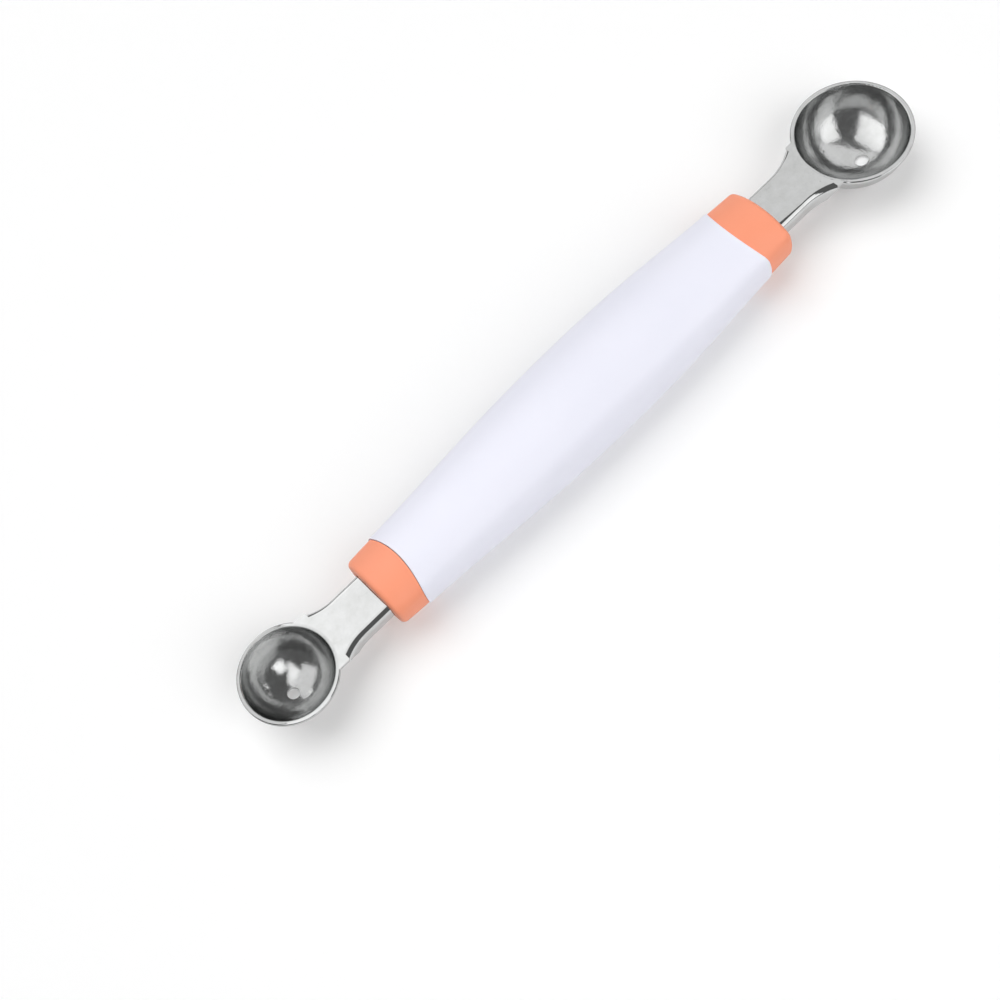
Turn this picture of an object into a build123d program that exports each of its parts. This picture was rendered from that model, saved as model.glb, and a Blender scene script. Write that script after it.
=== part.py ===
"""Double-ended melon baller: a stamped steel scoop at each end of a barrel-shaped handle.

Millimetres. X runs along the tool towards the large bowl, Z points out of both bowls.
The origin lies under the middle of the overall length, level with the underside of the large bowl.
"""
from build123d import *

import os
from collections import namedtuple
from math import asin, atan2, cos, radians, sin, sqrt

# Whole tool
overall_length = 210.7          # tip of one rim to tip of the other
sheet = 0.8                     # stainless sheet that both scoops are stamped from
overrun = 2.0                   # how far a cutting shape runs past what it cuts

# Rims and vent holes
rim_width = 1.1                 # flat rim around each bowl
rim_round = 0.3                 # rounding of the rim's edges
vent_offset = 2.2               # vent hole's distance from the bowl's lowest point

# Neck and tang, bent into a channel that opens downwards
stem_width = 12.3               # across the outside of the channel
bend_radius = 1.6               # outside of the bend
flange_depth = 3.8              # height of the turned-down flanges, sheet included
flange_end_depth = 1.3          # what is left of a flange where it ends near the bowl
flange_end_slope = 2.6          # length over which the flange runs out
shoulder_step = 0.15            # shoulder stands this much proud of the flange
shoulder_round = 0.5            # corners of the shoulder

# vent_azimuth is the vent hole's direction from the lowest point, in degrees round from the tip.
# neck_offset is how far the neck stands to the left of the bowl's middle, seen towards the tip.
Scoop = namedtuple("Scoop", "bowl_radius bowl_depth vent_radius vent_azimuth neck_offset shoulder_width "
                            "shoulder_length flare_length neck_length tang_length")
large = Scoop(bowl_radius=13.6, bowl_depth=12.2, vent_radius=1.7, vent_azimuth=-50.5, neck_offset=0.45,
              shoulder_width=17.1, shoulder_length=1.7, flare_length=8.3, neck_length=16.4,
              tang_length=34.0)
small = Scoop(bowl_radius=10.9, bowl_depth=9.9, vent_radius=1.5, vent_azimuth=0.0, neck_offset=0.0,
              shoulder_width=16.1, shoulder_length=3.0, flare_length=6.5, neck_length=14.0,
              tang_length=30.0)

# Handle
handle_drop = 1.9               # handle's axis lies this far below the rims
belly_width = 26.0              # widest place
belly_offset = 6.8              # belly lies this far from the handle's middle, towards the large bowl
large_end_width = 20.4
small_end_width = 19.4
belly_height_share = 0.8        # height of the widest section, as a share of its width
end_height_share = 0.7          # the same at both ends
crease_width_share = 0.94       # where crowned faces meet bowed sides, share of the half width
crease_height_share = 0.55      # the same, share of the half height
profile_ease_share = 0.68       # straightens the outline towards its ends
belly_crease_share = 0.54       # rounding of the four long edges at the belly, share of the half width
large_crease_share = 0.3        # the same at the large end
small_crease_share = 0.46       # and at the small end
station_shares = (-1.0, -0.75, -0.5, -0.25, 0.0, 0.25, 0.5, 0.75, 1.0)
handle_end_round = 1.4          # rounded edge of each outer end

# Collars
large_collar_length = 10.6      # along the middle of the top
small_collar_length = 9.4
collar_inset = 0.3              # collars lie this far inside the grip's surface
seam_radius = 27.0              # seams bow towards the handle's middle on this arc
seam_gap = 0.15                 # dark line between collar and grip
collar_wall = 2.3               # end wall around the stem
slot_clearance = 0.2            # stem to collar, sides and underside
slot_headroom = 0.9             # open slit above the stem
slot_round = 0.4

# Core inside the grip
core_width = 15.0
core_height = 8.4
core_round = 2.0
core_clearance = 0.1            # core to grip, to collar and to tang
tang_end_room = 0.5             # bottom of the socket beyond the tang
tongue_recess = 0.3             # core's tongue stops this far inside the collar's face
pin_radius = 1.25
pin_clearance = 0.05
pin_inset = 3.2                 # pin's centre from the end of the core
pin_recess = 0.2                # pin's ends below the core's surface
pin_chamfer = 0.3
pocket_count = 4
pocket_depth = 2.8              # lightening pockets, top and bottom
pocket_rib = 2.4                # between pockets
pocket_rim = 1.8                # along the core's sides
pocket_round = 1.0


def rim_radius(scoop):
    return scoop.bowl_radius + rim_width


# Places that follow from the sizes above
rim_z = large.bowl_depth + sheet
axis_z = rim_z - handle_drop
large_x = overall_length / 2 - rim_radius(large)
small_x = rim_radius(small) - overall_length / 2
large_face_x = large_x - rim_radius(large) - large.neck_length
small_face_x = small_x + rim_radius(small) + small.neck_length
belly_x = (large_face_x + small_face_x) / 2 + belly_offset
core_large_x = large_face_x - collar_wall - core_clearance
core_small_x = small_face_x + collar_wall + core_clearance

# Each scoop has a plane at the centre of its rim, with X pointing to its tip
large_plane = Plane(origin=(large_x, 0, rim_z), x_dir=(1, 0, 0), z_dir=(0, 0, 1))
small_plane = Plane(origin=(small_x, 0, rim_z), x_dir=(-1, 0, 0), z_dir=(0, 0, 1))


End = namedtuple("End", "scoop plane face_x way collar_length")
large_end = End(large, large_plane, large_face_x, 1, large_collar_length)
small_end = End(small, small_plane, small_face_x, -1, small_collar_length)


def side_plane(plane):
    """A scoop's plane of symmetry: X to the tip, Y up."""
    return Plane(origin=plane.origin, x_dir=plane.x_dir, z_dir=-plane.y_dir)


def stem_plane(scoop, plane):
    """The scoop's plane, moved across to the middle of the neck and tang."""
    return Plane(origin=plane.origin + plane.y_dir * scoop.neck_offset, x_dir=plane.x_dir,
                 z_dir=plane.z_dir)


def collar_face(scoop):
    """Outer face of the scoop's collar, measured from the centre of the bowl."""
    return -rim_radius(scoop) - scoop.neck_length


def core_end(scoop):
    return collar_face(scoop) - collar_wall - core_clearance


def tang_end(scoop):
    return collar_face(scoop) - scoop.tang_length


def flange_end(scoop):
    """Where the flanges stop, short of the rim."""
    rim_at_shoulder = sqrt(rim_radius(scoop) ** 2 - (scoop.shoulder_width / 2) ** 2)
    return -rim_at_shoulder - scoop.shoulder_length


def stem_block(scoop, plane, inset, start, end, depth):
    """Solid under the stem's outline, moved in by inset all round, with rounded upper edges."""
    half = stem_width / 2
    flare_start = flange_end(scoop) - scoop.flare_length
    flare_rise = scoop.shoulder_width / 2 - shoulder_step - half
    flare_radius = (scoop.flare_length ** 2 + flare_rise ** 2) / (2 * flare_rise)
    arc_radius = flare_radius + inset
    centre_y = half + flare_radius
    with BuildPart() as block:
        with BuildSketch(stem_plane(scoop, plane).offset(-inset)):
            with BuildLine():
                if end > flare_start:
                    turn = asin((end - flare_start) / arc_radius)
                    middle = (flare_start + arc_radius * sin(turn / 2),
                              centre_y - arc_radius * cos(turn / 2))
                    last = (end, centre_y - arc_radius * cos(turn))
                    Polyline((start, 0), (start, half - inset), (flare_start, half - inset))
                    ThreePointArc((flare_start, half - inset), middle, last)
                    Line(last, (end, 0))
                else:
                    Polyline((start, 0), (start, half - inset), (end, half - inset), (end, 0))
                mirror(about=Plane.XZ)
            make_face()
        extrude(amount=inset - depth)
        top = block.faces().sort_by(Axis.Z)[-1]
        fillet(top.edges().filter_by(Axis.Y, reverse=True), radius=bend_radius - inset)
    return block.part


def channel(scoop, plane, grow=0.0, end_room=0.0):
    """Bent stem, web and two flanges. With grow it is the slot that the stem slides into."""
    start = tang_end(scoop) - end_room
    end = flange_end(scoop)
    outside = stem_block(scoop, plane, -grow, start, end, flange_depth + grow)
    inside = stem_block(scoop, plane, sheet + grow, start - overrun, end + overrun / 2,
                        flange_depth + grow + overrun)
    with BuildPart() as stem:
        add(outside)
        add(inside, mode=Mode.SUBTRACT)
    return stem.part


def make_scoop(scoop, plane):
    """One stamping: bowl, rim, shoulder, neck and tang."""
    sphere = (scoop.bowl_radius ** 2 + scoop.bowl_depth ** 2) / (2 * scoop.bowl_depth)
    sphere_y = sphere - scoop.bowl_depth
    outer = sphere + sheet
    under_rim = sqrt(outer ** 2 - (sheet + sphere_y) ** 2)
    inner_turn = atan2(scoop.bowl_radius, sphere_y)
    outer_turn = atan2(under_rim, sheet + sphere_y)
    rim = rim_radius(scoop)
    end = flange_end(scoop)
    stem = channel(scoop, plane)
    side = side_plane(plane)
    azimuth = radians(scoop.vent_azimuth)
    vent_turn = asin(vent_offset / sphere)
    vent_side = plane.x_dir * cos(azimuth) + plane.y_dir * sin(azimuth)
    vent_way = vent_side * sin(vent_turn) - plane.z_dir * cos(vent_turn)
    vent_plane = Plane(origin=plane.origin + plane.z_dir * sphere_y + vent_way * (sphere - overrun),
                       x_dir=vent_side.cross(plane.z_dir), z_dir=vent_way)
    with BuildPart() as stamping:
        add(stem)
        # flanges run out towards the bowl
        with BuildSketch(side):
            with BuildLine():
                Polyline((end - flange_end_slope, -flange_depth), (end, -flange_end_depth),
                         (end + overrun, -flange_end_depth), (end + overrun, -flange_depth - overrun),
                         (end - flange_end_slope, -flange_depth - overrun), close=True)
            make_face()
        extrude(amount=scoop.shoulder_width, both=True, mode=Mode.SUBTRACT)
        # flat shoulder between the bent neck and the rim
        with BuildSketch(plane) as shoulder:
            with Locations((end, scoop.neck_offset)):
                Rectangle(-end, scoop.shoulder_width, align=(Align.MIN, Align.CENTER))
            fillet(shoulder.vertices().group_by(Axis.X)[0], radius=shoulder_round)
            Circle(scoop.bowl_radius + rim_width / 2, mode=Mode.SUBTRACT)
        extrude(amount=-sheet)
        # bowl and rim
        with BuildSketch(side) as profile:
            with BuildLine():
                ThreePointArc((0, -scoop.bowl_depth),
                              (sphere * sin(inner_turn / 2), sphere_y - sphere * cos(inner_turn / 2)),
                              (scoop.bowl_radius, 0))
                Polyline((scoop.bowl_radius, 0), (rim, 0), (rim, -sheet), (under_rim, -sheet))
                ThreePointArc((under_rim, -sheet),
                              (outer * sin(outer_turn / 2), sphere_y - outer * cos(outer_turn / 2)),
                              (0, -scoop.bowl_depth - sheet))
                Line((0, -scoop.bowl_depth - sheet), (0, -scoop.bowl_depth))
            make_face()
            fillet(profile.vertices().group_by(Axis.Y)[-1], radius=rim_round)
        revolve(axis=Axis(plane.origin, plane.z_dir))
        # vent hole, square to the bowl's surface
        with BuildSketch(vent_plane):
            Circle(scoop.vent_radius)
        extrude(amount=sheet + 2 * overrun, mode=Mode.SUBTRACT)
        # hole for the tang's pin
        with BuildSketch(plane):
            with Locations((core_end(scoop) - pin_inset, 0)):
                Circle(pin_radius + pin_clearance)
        extrude(amount=-flange_depth, mode=Mode.SUBTRACT)
    return stamping.part


def end_reach(way):
    """From the belly to an outer face. way is 1 at the large end and -1 at the small."""
    return large_face_x - belly_x if way > 0 else belly_x - small_face_x


def half_width(share):
    """share is 0 at the belly, 1 at the large end's outer face and -1 at the small end's."""
    end_width = large_end_width if share > 0 else small_end_width
    drop = share ** 2 * (1 + profile_ease_share * (1 - share ** 2))
    return (belly_width - (belly_width - end_width) * drop) / 2


def handle_section(share, inset):
    """Crowned top and bottom, slightly bowed sides, softened long edges. inset makes it smaller."""
    height_share = belly_height_share + (end_height_share - belly_height_share) * share ** 2
    height = half_width(share) * height_share - inset
    half = half_width(share) - inset
    edge_y = half * crease_width_share
    edge_z = height * crease_height_share
    end_crease_share = large_crease_share if share > 0 else small_crease_share
    crease_share = belly_crease_share + (end_crease_share - belly_crease_share) * abs(share)
    place = (belly_x + share * end_reach(share), 0, axis_z)
    with BuildSketch(Plane(origin=place, x_dir=(0, 1, 0), z_dir=(1, 0, 0))) as section:
        with BuildLine():
            ThreePointArc((-edge_y, edge_z), (0, height), (edge_y, edge_z))
            ThreePointArc((edge_y, edge_z), (half, 0), (edge_y, -edge_z))
            ThreePointArc((edge_y, -edge_z), (0, -height), (-edge_y, -edge_z))
            ThreePointArc((-edge_y, -edge_z), (-half, 0), (-edge_y, edge_z))
        make_face()
        fillet(section.vertices(), radius=half * crease_share)
    return section.sketch


def make_barrel(inset):
    """Outer form that the grip is cut from and, with an inset, both collars."""
    with BuildPart() as barrel:
        loft(sections=[handle_section(share, inset) for share in station_shares])
        fillet(barrel.faces().filter_by(Axis.X).edges(), radius=handle_end_round)
    return barrel.part


def beyond_seam(end, gap):
    """Everything on the bowl's side of a seam."""
    crest = end.face_x - end.way * (end.collar_length - gap)
    half = large_end_width / 2 + overrun
    side = crest + end.way * (seam_radius - sqrt(seam_radius ** 2 - half ** 2))
    outside = end.face_x + end.way * overrun
    with BuildPart() as zone:
        with BuildSketch(Plane.XY.offset(axis_z)):
            with BuildLine():
                ThreePointArc((side, half), (crest, 0), (side, -half))
                Polyline((side, -half), (outside, -half), (outside, half), (side, half))
            make_face()
        extrude(amount=belly_width, both=True)
    return zone.part


def along_core(clearance, start, end):
    """Bar with the core's section, grown by clearance, between two places along X."""
    with BuildPart() as bar:
        with BuildSketch(Plane(origin=(start, 0, axis_z), x_dir=(0, 1, 0), z_dir=(1, 0, 0))):
            RectangleRounded(core_width + 2 * clearance, core_height + 2 * clearance,
                             core_round + clearance)
        extrude(amount=end - start)
    return bar.part


def make_collar(barrel, end):
    """Cup over the end of the core, with a slot in its end wall for the stem."""
    zone = beyond_seam(end, seam_gap)
    cavity = along_core(core_clearance, end.face_x - end.way * collar_wall,
                        end.face_x - end.way * (end.collar_length + overrun))
    outer_face = Plane(origin=end.plane.origin + end.plane.x_dir * collar_face(end.scoop),
                       x_dir=end.plane.y_dir, z_dir=-end.plane.x_dir)
    slot_height = slot_headroom + flange_depth + slot_clearance
    with BuildPart() as collar:
        add(barrel)
        add(zone, mode=Mode.INTERSECT)
        add(cavity, mode=Mode.SUBTRACT)
        with BuildSketch(outer_face):
            with Locations((end.scoop.neck_offset, slot_height / 2 - slot_headroom)):
                RectangleRounded(stem_width + 2 * slot_clearance, slot_height, slot_round)
        extrude(amount=collar_wall + overrun, mode=Mode.SUBTRACT)
    return collar.part


def make_grip(barrel):
    """Hollow middle of the handle, between the two seams."""
    zones = [beyond_seam(large_end, 0), beyond_seam(small_end, 0)]
    bore = along_core(core_clearance, small_face_x, large_face_x)
    with BuildPart() as grip:
        add(barrel)
        for zone in zones:
            add(zone, mode=Mode.SUBTRACT)
        add(bore, mode=Mode.SUBTRACT)
    return grip.part


def tongue(scoop, plane):
    """Fills the channel where it passes through the collar's end wall."""
    return stem_block(scoop, plane, sheet + core_clearance, core_end(scoop) - overrun,
                      collar_face(scoop) - tongue_recess, flange_depth)


def make_core():
    """Bar that holds both tangs, with lightening pockets between them."""
    pockets_start = small_face_x + small.tang_length + tang_end_room + pocket_rib
    pockets_end = large_face_x - large.tang_length - tang_end_room - pocket_rib
    pitch = (pockets_end - pockets_start + pocket_rib) / pocket_count
    pocket_middle = (pockets_start + pockets_end) / 2
    bar = along_core(0, core_small_x, core_large_x)
    sockets = [channel(large, large_plane, core_clearance, tang_end_room),
               channel(small, small_plane, core_clearance, tang_end_room)]
    tongues = [tongue(large, large_plane), tongue(small, small_plane)]
    with BuildPart() as core:
        add(bar)
        for socket in sockets:
            add(socket, mode=Mode.SUBTRACT)
        for filler in tongues:
            add(filler)
        for level, way in ((axis_z + core_height / 2, -1), (axis_z - core_height / 2, 1)):
            with BuildSketch(Plane.XY.offset(level)):
                with Locations((pocket_middle, 0)):
                    with GridLocations(pitch, 0, pocket_count, 1):
                        RectangleRounded(pitch - pocket_rib, core_width - 2 * pocket_rim, pocket_round)
            extrude(amount=way * pocket_depth, mode=Mode.SUBTRACT)
        with BuildSketch(Plane.XY.offset(axis_z - core_height)):
            with Locations(*pin_places):
                Circle(pin_radius + pin_clearance)
        extrude(amount=2 * core_height, mode=Mode.SUBTRACT)
    return core.part


def make_pins():
    """One pin through each tang."""
    with BuildPart() as pins:
        with BuildSketch(Plane.XY.offset(axis_z - core_height / 2 + pin_recess)):
            with Locations(*pin_places):
                Circle(pin_radius)
        extrude(amount=core_height - 2 * pin_recess)
        chamfer(pins.edges().filter_by(GeomType.CIRCLE), length=pin_chamfer)
    return pins.part


pin_places = [(core_large_x - pin_inset, 0), (core_small_x + pin_inset, 0)]
collar_form = make_barrel(collar_inset)

pieces = {
    "large_scoop": make_scoop(large, large_plane),
    "small_scoop": make_scoop(small, small_plane),
    "handle_grip": make_grip(make_barrel(0)),
    "large_end_collar": make_collar(collar_form, large_end),
    "small_end_collar": make_collar(collar_form, small_end),
    "handle_core": make_core(),
    "tang_pins": make_pins(),
}

os.makedirs("parts", exist_ok=True)
for piece_name, piece in pieces.items():
    piece.label = piece_name
    export_step(piece, f"parts/{piece_name}.step")
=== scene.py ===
import math

import bpy
from mathutils import Matrix, Vector


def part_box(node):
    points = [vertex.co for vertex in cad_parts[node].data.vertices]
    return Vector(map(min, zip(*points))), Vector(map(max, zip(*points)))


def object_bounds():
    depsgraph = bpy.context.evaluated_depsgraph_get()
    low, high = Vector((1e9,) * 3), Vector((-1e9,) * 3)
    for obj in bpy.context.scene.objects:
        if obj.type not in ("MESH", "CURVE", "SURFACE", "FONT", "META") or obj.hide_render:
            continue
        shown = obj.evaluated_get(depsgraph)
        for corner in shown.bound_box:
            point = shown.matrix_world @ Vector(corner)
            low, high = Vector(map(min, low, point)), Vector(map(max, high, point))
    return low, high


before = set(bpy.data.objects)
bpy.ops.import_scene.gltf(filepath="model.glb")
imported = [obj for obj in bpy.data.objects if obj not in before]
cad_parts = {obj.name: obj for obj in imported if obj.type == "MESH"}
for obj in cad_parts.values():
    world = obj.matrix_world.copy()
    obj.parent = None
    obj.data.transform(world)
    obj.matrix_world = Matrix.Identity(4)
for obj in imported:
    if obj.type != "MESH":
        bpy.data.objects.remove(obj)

cad_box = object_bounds()
mm = 0.001

# Camera, in the frame of the part
camera_place = Vector((-91.4, -163.64, 351.89)) * mm
camera_azimuth = -20.4          # degrees, 0 looks along +Y
camera_elevation = 63.54        # degrees above the horizon
camera_roll = -25.57            # degrees, turns the picture about the line of sight
camera_lens = 60.48             # mm
sensor_width = 36.0             # mm

# Floor and room
floor_size = 6.0                # metres
floor_colour = (0.86, 0.86, 0.86)
floor_glow = 0.17               # lift of the pale floor, where 1 is white
floor_fade = (0.35, 0.9)        # metres from the middle, over which the floor turns white
white = (1.0, 1.0, 1.0)
dark_room = (0.14, 0.14, 0.14)
horizon_fade = (0.05, 0.1)      # heights of a unit line of sight, over which white turns dark

# Panels that the steel mirrors. They stand close to it, so their images bend and shift along it.
# Softboxes and a grey board stand round the large bowl, and two cards lie flat above the small one.
# A panel's plane is given by the way it faces and its distance from its bowl in metres, and its
# corners by the ways to them. A way is in degrees off straight up and degrees round from +X.
# level is the radiance, where 1 is white. corner_share is the share of it that is left at the first
# corner, and edge_share is the share of the width over which each edge fades out.
panels = {
    "left_softbox": dict(
        scoop="large_scoop", facing=(62.4, 173.5), distance=0.25, level=2.1, corner_share=0.45,
        edge_share=0.07, corners=((11, 219), (70, 208), (85, 112), (62, 95))),
    "right_softbox": dict(
        scoop="large_scoop", facing=(60, -69), distance=0.115, level=1.7, corner_share=0.75,
        edge_share=0.07, corners=((23, -72.5), (58, -33), (84, -65), (78, -100))),
    "grey_board": dict(
        scoop="large_scoop", facing=(50, 30), distance=0.07, level=0.98, corner_share=1.0,
        edge_share=0.03, corners=((16, -45), (75, -38), (80, 85), (46, 98))),
    "small_softbox": dict(
        scoop="small_scoop", facing=(0, 0), distance=0.03, level=1.9, corner_share=0.8,
        edge_share=0.07, corners=((30, -110), (35, -60), (62, -70), (60, -105))),
    "small_board": dict(
        scoop="small_scoop", facing=(0, 0), distance=0.03, level=0.98, corner_share=1.0,
        edge_share=0.03, corners=((15, 60), (60, 75), (66, 150), (45, 190))),
}

# Wide lamps that light the rest. They stand in the given way from the part's origin and face it.
# width is in metres, and level is the radiance of the lamp's face.
lamps = {
    "overhead": dict(from_up=22, azimuth=105, distance=1.6, width=1.6, level=2.45),
    "fill": dict(from_up=48, azimuth=-80, distance=1.6, width=1.2, level=2.8),
}

# Looks. Lengths are in metres, and scales in repeats per metre.
noise_range = (0.3, 0.7)        # what a noise texture mostly gives
bowl_fade = (0.0008, 0.0003)    # inside the outer edge of the rim, where the bowl's finish ends
bowl_roughness = (0.11, 0.2)
neck_roughness = (0.05, 0.08)
steel_cloud_scale = 330.0
steel_grain_scale = 2600.0
steel_ring_scale = 500.0
steel_grain_bump = dict(strength=0.15, distance=0.00001)
steel_wave_bump = dict(strength=0.5, distance=0.00018)
pit_size = (0.04, 0.1)          # how far from its middle a pit fades out, as a share of its cell
pit_free_share = 0.72           # share of the cells that have no pit
pit_darkening = -0.6
steel_tints = ((0.0, (0.36, 0.365, 0.36)), (0.35, (0.55, 0.555, 0.55)),
               (0.65, (0.60, 0.605, 0.605)))
steel_edge_tint = (0.85, 0.85, 0.85)
plastic_drift_scale = 60.0
plastic_drift_range = (0.35, 0.65)
plastic_bump = dict(strength=0.35, distance=0.00003)
plastic_roughness_spread = (-0.05, 0.07)
plastic_index = 1.47            # of refraction


def from_angles(from_up, azimuth):
    """Unit vector, from its angle off straight up and its direction round from +X."""
    tilt, turn = math.radians(from_up), math.radians(azimuth)
    across = math.sin(tilt)
    return Vector((across * math.cos(turn), across * math.sin(turn), math.cos(tilt)))


def find_bowl(scoop, way):
    """Centre and radius of a scoop's rim. way is 1 where the tip points to +X, and -1 to -X."""
    low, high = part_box(scoop)
    radius = (high.y - low.y) / 2
    tip = high.x if way > 0 else low.x
    return Vector((tip - way * radius, 0, high.z)), radius


class Nodes:
    """Short way to write a node tree. Apart from add, each method gives the new node's output."""

    def __init__(self, tree):
        self.tree = tree
        tree.nodes.clear()

    def add(self, kind, inputs=None, **settings):
        """Adds a node. Each input is another node's output or a plain value."""
        node = self.tree.nodes.new(kind)
        for name, value in settings.items():
            setattr(node, name, value)
        for name, value in (inputs or {}).items():
            if isinstance(value, bpy.types.NodeSocket):
                self.tree.links.new(value, node.inputs[name])
            else:
                node.inputs[name].default_value = value
        return node

    def coordinate(self, kind):
        return self.add("ShaderNodeTexCoord").outputs[kind]

    def arithmetic(self, operation, *values):
        return self.add("ShaderNodeMath", dict(enumerate(values)), operation=operation).outputs[0]

    def length(self, vector):
        return self.add("ShaderNodeVectorMath", {0: vector}, operation="LENGTH").outputs["Value"]

    def noise(self, place, scale, detail, roughness=0.5):
        inputs = {"Vector": place, "Scale": scale, "Detail": detail, "Roughness": roughness}
        return self.add("ShaderNodeTexNoise", inputs).outputs["Fac"]

    def remap(self, value, source=(0.0, 1.0), target=(0.0, 1.0), kind="LINEAR"):
        """Moves a value from the source range to the target range, and keeps it there."""
        return self.add("ShaderNodeMapRange", {
            "Value": value, "From Min": source[0], "From Max": source[1],
            "To Min": target[0], "To Max": target[1]}, interpolation_type=kind).outputs["Result"]

    def ramp(self, factor, stops):
        """Colour between stops, which are pairs of a place and a colour in rising order."""
        node = self.add("ShaderNodeValToRGB", {"Fac": factor})
        elements = node.color_ramp.elements
        elements[0].position = stops[0][0]
        elements[1].position = stops[1][0]
        for place, _ in stops[2:]:
            elements.new(place)
        for element, (_, colour) in zip(elements, stops):
            element.color = (*colour, 1)
        return node.outputs["Color"]

    def bump(self, height, strength, distance, below=None):
        """Normal of a bumped surface, on top of other bumps if there are some below."""
        inputs = {"Height": height, "Strength": strength, "Distance": distance}
        if below is not None:
            inputs["Normal"] = below
        return self.add("ShaderNodeBump", inputs).outputs["Normal"]

    def emission(self, strength):
        return self.add("ShaderNodeEmission", {"Strength": strength}).outputs[0]

    def mix_shaders(self, share, first, second):
        return self.add("ShaderNodeMixShader", {0: share, 1: first, 2: second}).outputs[0]


def new_material(name):
    material = bpy.data.materials.new(name)
    material.use_nodes = True
    return material, Nodes(material.node_tree)


def polished_steel(name, bowl_centre, bowl_radius):
    """Stamped stainless sheet. The drawn bowl is a little cloudy and ringed, the neck smoother."""
    material, nodes = new_material(name)
    place = nodes.coordinate("Object")
    centred = nodes.add("ShaderNodeVectorMath", {0: place, 1: bowl_centre}, operation="SUBTRACT")
    in_bowl = nodes.remap(nodes.length(centred.outputs["Vector"]),
                          [bowl_radius - inset for inset in bowl_fade], (1.0, 0.0))
    clouds = nodes.noise(place, steel_cloud_scale, detail=5.0, roughness=0.62)
    grain = nodes.noise(place, steel_grain_scale, detail=3.0)
    rings = nodes.add("ShaderNodeTexWave", {
        "Vector": centred.outputs["Vector"], "Scale": steel_ring_scale, "Distortion": 1.5,
        "Detail": 2.0, "Detail Scale": 2.0}, wave_type="RINGS", rings_direction="Z")
    roughness = nodes.add("ShaderNodeMix", {
        "Factor": in_bowl, "A": nodes.remap(clouds, noise_range, neck_roughness),
        "B": nodes.remap(clouds, noise_range, bowl_roughness)})
    cells = nodes.add("ShaderNodeTexVoronoi", {"Vector": place, "Scale": steel_cloud_scale})
    dots = nodes.remap(cells.outputs["Distance"], pit_size, (1.0, 0.0))
    choice = nodes.add("ShaderNodeSeparateColor", {"Color": cells.outputs["Color"]}).outputs["Red"]
    has_pit = nodes.arithmetic("GREATER_THAN", choice, pit_free_share)
    pits = nodes.arithmetic("MULTIPLY", dots, has_pit)
    tint = nodes.ramp(nodes.arithmetic("MULTIPLY_ADD", pits, pit_darkening, clouds), steel_tints)
    ridges = nodes.arithmetic("MULTIPLY", rings.outputs["Fac"], in_bowl)
    fine = nodes.bump(nodes.arithmetic("ADD", grain, ridges), **steel_grain_bump)
    waves = nodes.bump(nodes.arithmetic("MULTIPLY", clouds, in_bowl), below=fine, **steel_wave_bump)
    shader = nodes.add("ShaderNodeBsdfPrincipled", {
        "Base Color": tint, "Metallic": 1.0, "Roughness": roughness.outputs["Result"],
        "Specular Tint": (*steel_edge_tint, 1), "Normal": waves})
    nodes.add("ShaderNodeOutputMaterial", {"Surface": shader.outputs["BSDF"]})
    return material


def satin_plastic(name, colour, shade, roughness, grain_size):
    """Moulded plastic with a fine eroded grain and a slight drift of colour."""
    material, nodes = new_material(name)
    place = nodes.coordinate("Object")
    drift = nodes.noise(place, plastic_drift_scale, detail=3.0)
    grain = nodes.noise(place, 1 / grain_size, detail=4.0, roughness=0.6)
    shader = nodes.add("ShaderNodeBsdfPrincipled", {
        "Base Color": nodes.ramp(drift, tuple(zip(plastic_drift_range, (shade, colour)))),
        "Roughness": nodes.remap(grain, noise_range,
                                 [roughness + spread for spread in plastic_roughness_spread]),
        "Normal": nodes.bump(grain, **plastic_bump), "IOR": plastic_index})
    nodes.add("ShaderNodeOutputMaterial", {"Surface": shader.outputs["BSDF"]})
    return material


def make_floor():
    """Pale floor that the tool lies on. It turns into a white backdrop away from the tool."""
    half = floor_size / 2
    mesh = bpy.data.meshes.new("floor")
    mesh.from_pydata([(-half, -half, 0), (half, -half, 0), (half, half, 0), (-half, half, 0)], [],
                     [(0, 1, 2, 3)])
    floor = bpy.data.objects.new("floor", mesh)
    floor.location.z = cad_box[0].z
    bpy.context.scene.collection.objects.link(floor)
    material, nodes = new_material("floor_paper")
    far = nodes.remap(nodes.length(nodes.coordinate("Object")), floor_fade, kind="SMOOTHSTEP")
    path = nodes.add("ShaderNodeLightPath")
    seen = nodes.arithmetic("MAXIMUM", path.outputs["Is Camera Ray"], path.outputs["Is Glossy Ray"])
    paper = nodes.add("ShaderNodeBsdfDiffuse", {"Color": (*floor_colour, 1)}).outputs[0]
    off = nodes.emission(0.0)
    glow = nodes.emission(nodes.remap(far, target=(floor_glow, 1.0)))
    total = nodes.add("ShaderNodeAddShader", {
        0: nodes.mix_shaders(far, paper, off), 1: nodes.mix_shaders(seen, off, glow)})
    nodes.add("ShaderNodeOutputMaterial", {"Surface": total.outputs[0]})
    mesh.materials.append(material)


def make_world():
    """White at the horizon and dark above it, as in a studio with the room lights off."""
    world = bpy.data.worlds.new("studio")
    world.use_nodes = True
    bpy.context.scene.world = world
    nodes = Nodes(world.node_tree)
    way = nodes.add("ShaderNodeSeparateXYZ", {"Vector": nodes.coordinate("Generated")})
    level = nodes.ramp(way.outputs["Z"], tuple(zip(horizon_fade, (white, dark_room))))
    sky = nodes.add("ShaderNodeBackground", {"Color": level, "Strength": 1.0})
    nodes.add("ShaderNodeOutputWorld", {"Surface": sky.outputs[0]})


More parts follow.
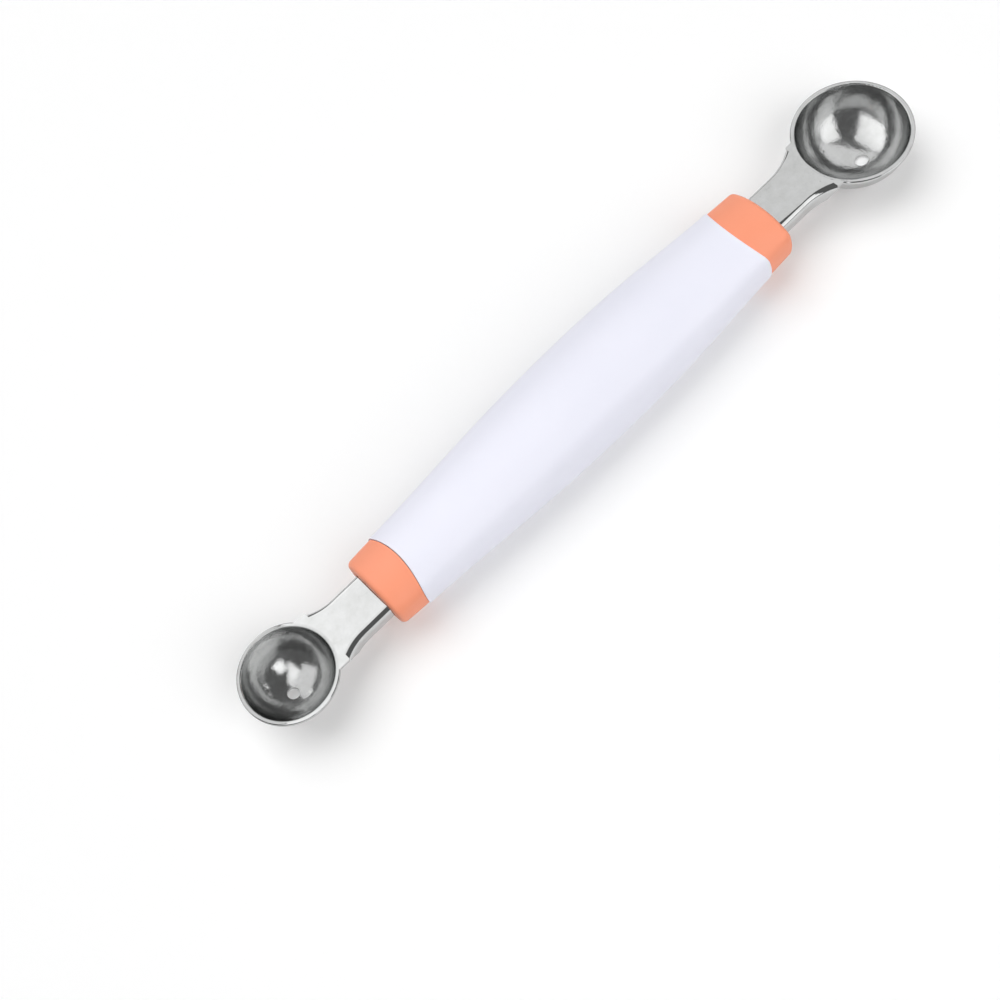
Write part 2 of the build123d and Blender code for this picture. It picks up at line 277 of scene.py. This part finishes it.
def panel(name, scoop, facing, distance, level, corner_share, edge_share, corners):
    """Glowing panel. It is dimmer at its first corner, and fades out towards its edges."""
    bowl_centre, _ = bowls[scoop]
    plane_way = from_angles(*facing)
    ways = [from_angles(*corner) for corner in corners]
    mesh = bpy.data.meshes.new(name)
    mesh.from_pydata([bowl_centre + way * (distance / way.dot(plane_way)) for way in ways], [],
                     [(0, 1, 2, 3)])
    layer = mesh.uv_layers.new(name="UVMap")
    for loop, place in zip(layer.data, ((0, 0), (1, 0), (1, 1), (0, 1))):
        loop.uv = place
    material, nodes = new_material(name + "_glow")
    across = nodes.add("ShaderNodeSeparateXYZ", {"Vector": nodes.coordinate("UV")})
    strength = level
    for side in ("X", "Y"):
        off_middle = nodes.arithmetic(
            "ABSOLUTE", nodes.arithmetic("SUBTRACT", across.outputs[side], 0.5))
        edge = nodes.remap(off_middle, (0.5, 0.5 - edge_share), kind="SMOOTHSTEP")
        rise = nodes.remap(across.outputs[side], target=(corner_share ** 0.5, 1.0))
        strength = nodes.arithmetic("MULTIPLY", strength, nodes.arithmetic("MULTIPLY", edge, rise))
    nodes.add("ShaderNodeOutputMaterial", {"Surface": nodes.emission(strength)})
    mesh.materials.append(material)
    card = bpy.data.objects.new(name, mesh)
    card.visible_camera = False
    card.visible_diffuse = False
    card.visible_shadow = False
    bpy.context.scene.collection.objects.link(card)


def lamp(name, from_up, azimuth, distance, width, level):
    """Wide soft lamp that leaves no image of itself in the steel."""
    light = bpy.data.lights.new(name, "AREA")
    light.shape = "SQUARE"
    light.size = width
    light.energy = level * math.pi * width ** 2
    holder = bpy.data.objects.new(name, light)
    way = from_angles(from_up, azimuth)
    turn = way.to_track_quat("Z", "Y").to_matrix().to_4x4()
    holder.matrix_world = Matrix.Translation(way * distance) @ turn
    holder.visible_camera = False
    holder.visible_glossy = False
    bpy.context.scene.collection.objects.link(holder)


def make_camera():
    """Camera at the place and angle that the photograph was taken from."""
    azimuth, roll = math.radians(camera_azimuth), math.radians(camera_roll)
    back = from_angles(90 - camera_elevation, camera_azimuth - 90)
    level = Vector((math.cos(azimuth), math.sin(azimuth), 0))
    right = level * math.cos(roll) + back.cross(level) * math.sin(roll)
    turn = Matrix((right, back.cross(right), back)).transposed().to_4x4()
    data = bpy.data.cameras.new("camera")
    data.lens = camera_lens
    data.sensor_width = sensor_width
    camera = bpy.data.objects.new("camera", data)
    camera.matrix_world = Matrix.Translation(camera_place) @ turn
    bpy.context.scene.collection.objects.link(camera)
    bpy.context.scene.camera = camera


bowls = {
    "large_scoop": find_bowl("large_scoop", way=1),
    "small_scoop": find_bowl("small_scoop", way=-1),
}
coral = satin_plastic("coral_plastic", colour=(1.0, 0.35, 0.205), shade=(0.985, 0.335, 0.19),
                      roughness=0.45, grain_size=0.0003)
finishes = {
    "large_scoop": polished_steel("large_scoop_steel", *bowls["large_scoop"]),
    "small_scoop": polished_steel("small_scoop_steel", *bowls["small_scoop"]),
    "handle_grip": satin_plastic("white_plastic", colour=(0.89, 0.893, 0.99),
                                 shade=(0.875, 0.88, 0.98), roughness=0.42, grain_size=0.00035),
    "large_end_collar": coral,
    "small_end_collar": coral,
    "handle_core": satin_plastic("core_plastic", colour=(0.5, 0.5, 0.5), shade=(0.47, 0.47, 0.47),
                                 roughness=0.5, grain_size=0.0004),
    "tang_pins": polished_steel("pin_steel", *bowls["large_scoop"]),
}
for node, material in finishes.items():
    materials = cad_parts[node].data.materials
    materials.clear()
    materials.append(material)

make_floor()
make_world()
for name, settings in panels.items():
    panel(name, **settings)
for name, settings in lamps.items():
    lamp(name, **settings)
make_camera()
bpy.context.scene.view_settings.view_transform = "Standard"
